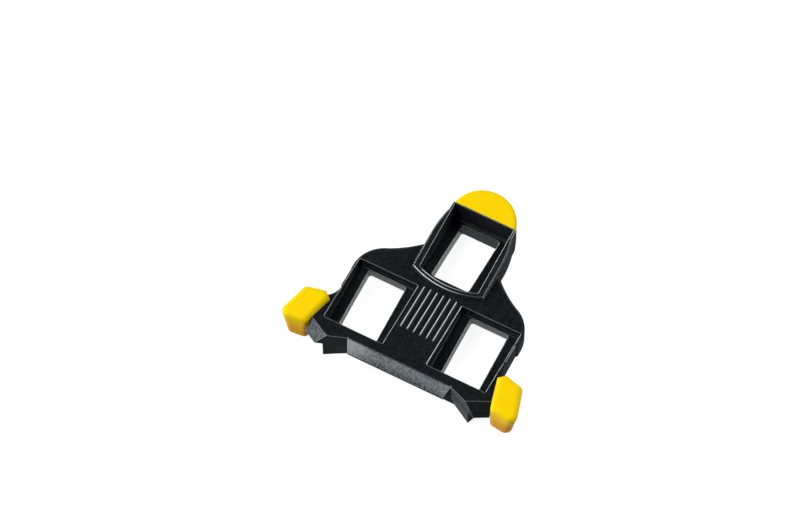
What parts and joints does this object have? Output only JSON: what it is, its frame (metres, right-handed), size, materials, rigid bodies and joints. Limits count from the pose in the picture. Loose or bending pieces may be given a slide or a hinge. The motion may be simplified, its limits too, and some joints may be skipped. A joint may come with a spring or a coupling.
{
  "type": "clipless pedal cleat",
  "caption": "Road cycling cleat with slotted bolt windows in washer pockets, a front lip and a rear tongue that clip into a pedal, grip ribs and softer yellow walking pads.",
  "frame": {"origin": "middle of the plan box on the plane that the cleat lies on, shoe side down", "axes": "+X to the right across the cleat, +Y towards the nose, +Z from the shoe side to the pedal side"},
  "size_m": [0.0786, 0.0672, 0.0146],
  "materials": {
    "black_nylon": "satin, glass-filled nylon with a fine moulded grain",
    "yellow_pad": "smooth, softer elastomer"
  },
  "bodies": {
    "root": {"cleat_body": "black_nylon", "nose_pad": "yellow_pad", "right_heel_pad": "yellow_pad", "left_heel_pad": "yellow_pad"}
  },
  "joints": []
}
